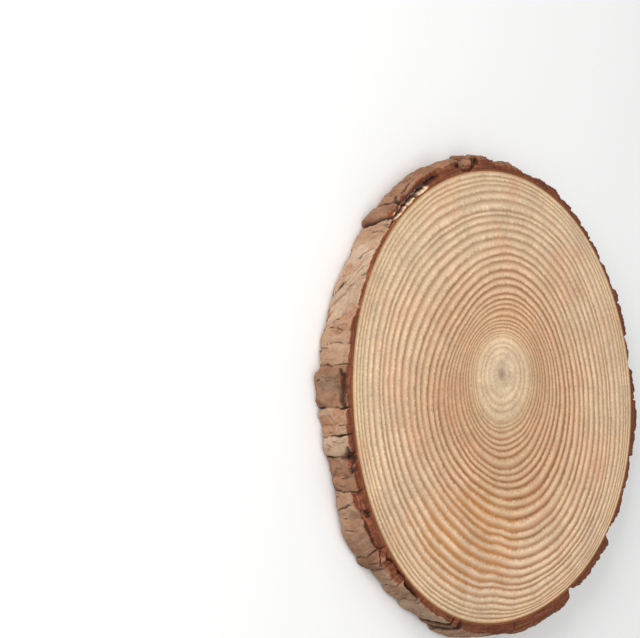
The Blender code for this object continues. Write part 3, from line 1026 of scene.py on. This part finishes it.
def wood_finish(settings):
    """Pine end grain: pale earlywood and brown latewood in every ring, rays, resin and saw marks."""
    finish = Finish("sawn pine")
    spot = finish.place()
    x, y, z = finish.parts(spot)
    growth = finish.attribute("growth")
    aside = x - PITH[0]
    ahead = y - PITH[1]
    away = (aside * aside + ahead * ahead + NEVER_ZERO) ** 0.5
    east = aside / away
    north = ahead / away
    streaks = finish.noise(finish.vector(east * 8.0, north * 8.0, away * 110.0), 1.0, 6.0, 0.68)
    mottle = finish.noise(spot, 240.0, 5.0, 0.66)
    outer = finish.span(growth, 0.12, 0.55)
    brush = mottle + (streaks - mottle) * outer
    rays = finish.noise(finish.vector(east * 70.0, north * 70.0, away * 260.0), 1.0, 3.0, 0.6)
    cloud = finish.noise(spot, 36.0, 3.0, 0.6)
    patches = finish.noise(finish.vector(x, y + 0.2, z), 130.0, 3.0, 0.6)
    drift = finish.noise(finish.vector(x + 0.3, y, z), 48.0, 5.0, 0.62)
    speckle = finish.noise(spot, 1300.0, 3.0, 0.65)

    grown = finish.attribute("year")
    threads = finish.noise(finish.vector(east * 3.0, north * 3.0, grown * 2.6), 1.0, 4.0, 0.7)
    tint = finish.noise(finish.vector(east * 5.0, north * 5.0, grown * 0.9 + 40.0), 1.0, 3.0, 0.6)
    year = grown + (brush - 0.5) * (outer * 0.22 + 0.1) + (speckle - 0.5) * 0.3
    dice = finish.node("ShaderNodeTexWhiteNoise", {"noise_dimensions": "1D"}, {"W": year.whole()})
    early = finish.ramp(growth, EARLYWOOD)
    late = finish.ramp(growth, LATEWOOD)
    foot = finish.span(0.0 - north, 0.0, 0.9)
    away_from_core = finish.span(growth, 0.14, 0.4)
    late = finish.mixed(foot * away_from_core * 0.6, late, FOOT_LATEWOOD)
    late = finish.mixed(finish.span(tint, 0.48, 0.66) * away_from_core * 0.4, late, ROSY_LATEWOOD)
    latewood = finish.ramp(year.fraction(), YEAR_WAVE)
    strength = (0.76 + dice * 0.34) * (0.35 + cloud * 0.8 + patches * 0.55)
    color = finish.mixed((latewood * strength).held(), early, late)

    color = finish.mixed(finish.span(drift, 0.5, 0.7) * away_from_core * 0.4, color, ROSY_WOOD)
    color = finish.mixed(finish.span(drift, 0.5, 0.32) * away_from_core * 0.25, color, PALE_WOOD)
    color = finish.mixed(resin_patches(finish, x, y, growth, latewood, brush), color, RESIN)
    cut_x = x * SAW_SLANT[0] + y * SAW_SLANT[1]
    cut_y = y * SAW_SLANT[0] - x * SAW_SLANT[1]
    saw = finish.noise(finish.vector(cut_x * 60.0, cut_y * 1400.0, 0.0), 1.0)
    light = 0.985 + (brush - 0.5) * 0.5 + (rays - 0.5) * 0.12 + (cloud - 0.5) * 0.55 + (speckle - 0.5) * 0.9
    light = light + (patches - 0.5) * 0.38 + (threads - 0.5) * outer * 0.35
    color = finish.lit(color, light + (saw - 0.5) * 0.1)

    height = latewood * 0.15 + brush * 0.4 + speckle * 0.3 + saw * 0.3
    roughness = 0.78 - latewood * 0.08 + (speckle - 0.5) * 0.1
    return finish.close(color, roughness, finish.bump(height, settings.relief), specular=0.2)


def resin_patches(finish, x, y, growth, latewood, brush):
    """How much resin has coloured the latewood, in a patch of the outer rings."""
    across = (x - RESIN_MIDDLE[0]) / RESIN_SIZE[0]
    along = (y - RESIN_MIDDLE[1]) / RESIN_SIZE[1]
    inside = finish.span(across * across + along * along + (brush - 0.5) * 3.0, 1.1, 0.2)
    return (inside * (latewood * 0.8 + 0.1) * finish.span(growth, 0.96, 0.86) * 0.85).held()


def bark_finish(settings):
    """Pine bark: pale weathered skin, red-brown layers where it is bare or sawn, and painted shade darkening
    its cracks, grooves and slits.
    """
    finish = Finish("pine bark")
    spot = finish.place()
    x, y, z = finish.parts(spot)
    layer = finish.attribute("layer")
    sawn = finish.attribute("sawn")
    cloud = finish.noise(spot, 110.0, 4.0, 0.6)
    mottle = finish.noise(spot, 420.0, 4.0, 0.6)
    speckle = finish.noise(spot, 1500.0, 3.0, 0.6)
    wrinkle = finish.noise(finish.vector(x * 620.0, y * 620.0, z * 190.0), 1.0, 4.0, 0.65)
    away = (x * x + y * y + NEVER_ZERO) ** 0.5
    east = x / away
    north = y / away
    depth = layer * 2.6 + cloud * 1.2
    layers = finish.noise(finish.vector(east * 5.0, north * 5.0, depth), 1.5, 3.0, 0.65)
    fibres = finish.noise(finish.vector(east * 60.0, north * 60.0, layer * 5.0), 1.3, 3.0, 0.6)

    skin = finish.ramp(finish.attribute("pale") + (cloud - 0.5) * 0.9, SKIN)
    skin = finish.mixed(finish.span(mottle, 0.52, 0.7) * 0.3, skin, RUSTY_SKIN)
    skin = finish.mixed(finish.span(wrinkle, 0.55, 0.7) * 0.35, skin, WRINKLED_SKIN)
    skin = finish.mixed(finish.span(speckle, 0.58, 0.7) * 0.4, skin, PORES)
    skin = finish.mixed(finish.attribute("grey") * 0.7, skin, GREY_SKIN)
    under = finish.mixed(finish.span(wrinkle, 0.4, 0.65) * 0.5, UNDER_SKIN, DARK_UNDER_SKIN)
    inner = finish.ramp(layers, INNER_LAYERS)
    inner = finish.mixed(finish.span(fibres, 0.45, 0.75) * 0.4, inner, DARK_FIBRES)
    inner = finish.mixed(finish.span(layer, 0.75, 0.1) * 0.7, inner, BAST)
    cream = finish.span(finish.attribute("cream") + (speckle - 0.5) * 0.6, 0.3, 0.7)
    inner = finish.mixed(cream * 0.85, inner, CREAM)

    torn = sawn.larger(finish.attribute("bare") + (mottle - 0.5) * 0.5)
    color = finish.mixed(finish.span(torn, 0.15, 0.35), skin, under)
    color = finish.mixed(finish.span(torn, 0.42, 0.62), color, inner)
    color = finish.lit(color, 1.0 + (speckle - 0.5) * 1.1 + (wrinkle - 0.5) * 0.8)
    # Painted shade: the crack attribute darkens cracks, grooves and slits towards a near black brown
    crack = finish.span(finish.attribute("crack") + (speckle - 0.5) * 0.3, 0.15, 0.8)
    color = finish.mixed(crack * 0.92, color, CRACK_SHADE)

    height = mottle * 0.4 + wrinkle * 0.5 + speckle * 0.3 + layers * sawn * 0.8
    roughness = 0.86 + (speckle - 0.5) * 0.15
    return finish.close(color, roughness, finish.bump(height, settings.relief), specular=0.3)


def keep(mesh, name, material, sharp_degrees):
    """Makes a finished mesh an object of the scene that stands for the solid slice."""
    bmesh.ops.recalc_face_normals(mesh, faces=mesh.faces)
    data = bpy.data.meshes.new(name)
    mesh.to_mesh(data)
    mesh.free()
    data.materials.append(material)
    data.shade_smooth()
    data.set_sharp_from_angle(angle=math.radians(sharp_degrees))
    piece = bpy.data.objects.new(name, data)
    bpy.context.scene.collection.objects.link(piece)
    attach(piece, "root")
    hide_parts(NODE)
    return piece


class SliceWood(bpy.types.PropertyGroup):
    """What can be changed on the sawn wood"""
    relief: FloatProperty(name="Grain relief", description="Height of the sanded grain",
                          default=0.00004, min=0.0, unit="LENGTH")


class SliceBark(bpy.types.PropertyGroup):
    """What can be changed on the bark"""
    relief: FloatProperty(name="Bark relief", description="Height of the bark's finest roughness",
                          default=0.0003, min=0.0, unit="LENGTH")


class SliceStage(bpy.types.PropertyGroup):
    """What can be changed on the floor and the lights"""
    floor_color: FloatVectorProperty(name="Floor", description="Colour of the floor", subtype="COLOR",
                                     default=(0.9, 0.9, 0.895), min=0.0, max=1.0)
    floor_size: FloatProperty(name="Floor size", description="Length of the floor's side",
                              default=6.0, min=1.0, unit="LENGTH")
    key_power: FloatProperty(name="Key light", description="Power of the large soft light",
                             default=9.0, min=0.0, unit="POWER")
    fill_power: FloatProperty(name="Fill light", description="Power of the light from the other side",
                              default=2.5, min=0.0, unit="POWER")
    sky: FloatProperty(name="Room light", description="Strength of the even light from all round",
                       default=0.55, min=0.0)


# The photograph's view of the slice: its focal length in pixels, where the pith shows, how far it is
PHOTO_WIDTH = 640
PHOTO_HEIGHT = 638
FOCAL_PIXELS = 2115.0
PITH_PIXEL = (501.7, 373.5)
RADIUS_AT_UNIT_DISTANCE = 0.10817
SENSOR_WIDTH_MM = 36.0
CAMERA_RIGHT = Vector((0.66067, -0.02785, 0.75016))
CAMERA_UP = Vector((0.0, 0.99931, 0.03710))
NEAREST_SEEN = 0.01

# The lights: their direction along the camera's right, up and back, how far off and how wide they are
KEY_LIGHT = ((-0.35, 0.5, 0.8), 0.9, 0.55)
FILL_LIGHT = ((0.5, -0.2, 0.8), 1.0, 0.8)
FLOOR_GAP = 0.0001


def photo_camera():
    """The camera's place and turn: the slice shows as in the photograph, seen from above its side."""
    right = CAMERA_RIGHT.normalized()
    back = right.cross(CAMERA_UP).normalized()
    up = back.cross(right)
    aside = (PITH_PIXEL[0] - PHOTO_WIDTH / 2) / FOCAL_PIXELS
    above = (PHOTO_HEIGHT / 2 - PITH_PIXEL[1]) / FOCAL_PIXELS
    distance = WOOD_RADIUS / RADIUS_AT_UNIT_DISTANCE
    eye = Vector((PITH[0], PITH[1], UPPER_FACE)) - distance * (aside * right + above * up - back)
    turn = Matrix((right, up, back)).transposed().to_4x4()
    return Matrix.Translation(eye) @ turn


def area_light(name, target, direction, distance, size, power):
    """A square light that faces a target from a direction."""
    data = bpy.data.lights.new(name, "AREA")
    data.shape = "SQUARE"
    data.size = size
    data.energy = power
    light = bpy.data.objects.new(name, data)
    light.location = target + direction.normalized() * distance
    light.rotation_euler = direction.to_track_quat("Z", "Y").to_euler()
    bpy.context.scene.collection.objects.link(light)


class SLICE_OT_wood(bpy.types.Operator):
    """Make the sawn wood with its growth rings"""
    bl_idname = "slice.wood"
    bl_label = "Sawn Wood"

    def execute(self, context):
        keep(grown_wood(), "sawn_wood", wood_finish(context.scene.slice_wood), WOOD_SHARP_DEGREES)
        return {"FINISHED"}


class SLICE_OT_bark(bpy.types.Operator):
    """Make the ring of bark"""
    bl_idname = "slice.bark"
    bl_label = "Bark"

    def execute(self, context):
        keep(grown_bark(), "bark_ring", bark_finish(context.scene.slice_bark), BARK_SHARP_DEGREES)
        return {"FINISHED"}


class SLICE_OT_stage(bpy.types.Operator):
    """Make the floor, the lights and the camera"""
    bl_idname = "slice.stage"
    bl_label = "Stage"

    def execute(self, context):
        settings = context.scene.slice_stage
        finish = Finish("pale floor")
        surface = finish.node("ShaderNodeBsdfPrincipled", sockets={
            "Base Color": (*settings.floor_color, 1.0), "Roughness": 0.9, "Specular IOR Level": 0.1})
        finish.node("ShaderNodeOutputMaterial", sockets={0: surface})
        sheet = bmesh.new()
        bmesh.ops.create_grid(sheet, x_segments=1, y_segments=1, size=settings.floor_size / 2)
        bmesh.ops.translate(sheet, verts=sheet.verts, vec=(0.0, 0.0, LOWER_FACE - FLOOR_GAP))
        data = bpy.data.meshes.new("floor")
        sheet.to_mesh(data)
        sheet.free()
        data.materials.append(finish.material)
        floor = bpy.data.objects.new("floor", data)
        context.scene.collection.objects.link(floor)

        place = photo_camera()
        lens = bpy.data.cameras.new("photo view")
        lens.sensor_width = SENSOR_WIDTH_MM
        lens.lens = FOCAL_PIXELS * SENSOR_WIDTH_MM / PHOTO_WIDTH
        lens.clip_start = NEAREST_SEEN
        camera = bpy.data.objects.new("photo view", lens)
        camera.matrix_world = place
        context.scene.collection.objects.link(camera)
        context.scene.camera = camera

        middle = Vector((0.0, 0.0, UPPER_FACE))
        for name, light, power in (("key", KEY_LIGHT, settings.key_power),
                                   ("fill", FILL_LIGHT, settings.fill_power)):
            direction, distance, size = light
            area_light(name, middle, place.to_3x3() @ Vector(direction), distance, size, power)
        world = bpy.data.worlds.new("room")
        world.use_nodes = True
        world.node_tree.nodes["Background"].inputs["Color"].default_value = (1.0, 1.0, 1.0, 1.0)
        world.node_tree.nodes["Background"].inputs["Strength"].default_value = settings.sky
        context.scene.world = world
        context.scene.view_settings.view_transform = "Standard"
        return {"FINISHED"}


class SLICE_PT_panel(bpy.types.Panel):
    """The slice's pieces and their settings"""
    bl_idname = "SLICE_PT_panel"
    bl_label = "Pine Slice"
    bl_space_type = "VIEW_3D"
    bl_region_type = "UI"
    bl_category = "Slice"

    def draw(self, context):
        scene = context.scene
        parts = (
            ("Wood", scene.slice_wood, "slice.wood"),
            ("Bark", scene.slice_bark, "slice.bark"),
            ("Stage", scene.slice_stage, "slice.stage"),
        )
        for title, group, operator in parts:
            box = self.layout.box()
            box.label(text=title)
            for name in group.__annotations__:
                box.prop(group, name)
            box.operator(operator)


CLASSES = (SliceWood, SliceBark, SliceStage, SLICE_OT_wood, SLICE_OT_bark, SLICE_OT_stage, SLICE_PT_panel)


def register():
    for cls in CLASSES:
        bpy.utils.register_class(cls)
    bpy.types.Scene.slice_wood = PointerProperty(type=SliceWood)
    bpy.types.Scene.slice_bark = PointerProperty(type=SliceBark)
    bpy.types.Scene.slice_stage = PointerProperty(type=SliceStage)


def unregister():
    del bpy.types.Scene.slice_stage
    del bpy.types.Scene.slice_bark
    del bpy.types.Scene.slice_wood
    for cls in reversed(CLASSES):
        bpy.utils.unregister_class(cls)


def main():
    register()
    bpy.ops.slice.stage()
    bpy.ops.slice.wood()
    bpy.ops.slice.bark()


if __name__ == "__main__":
    main()
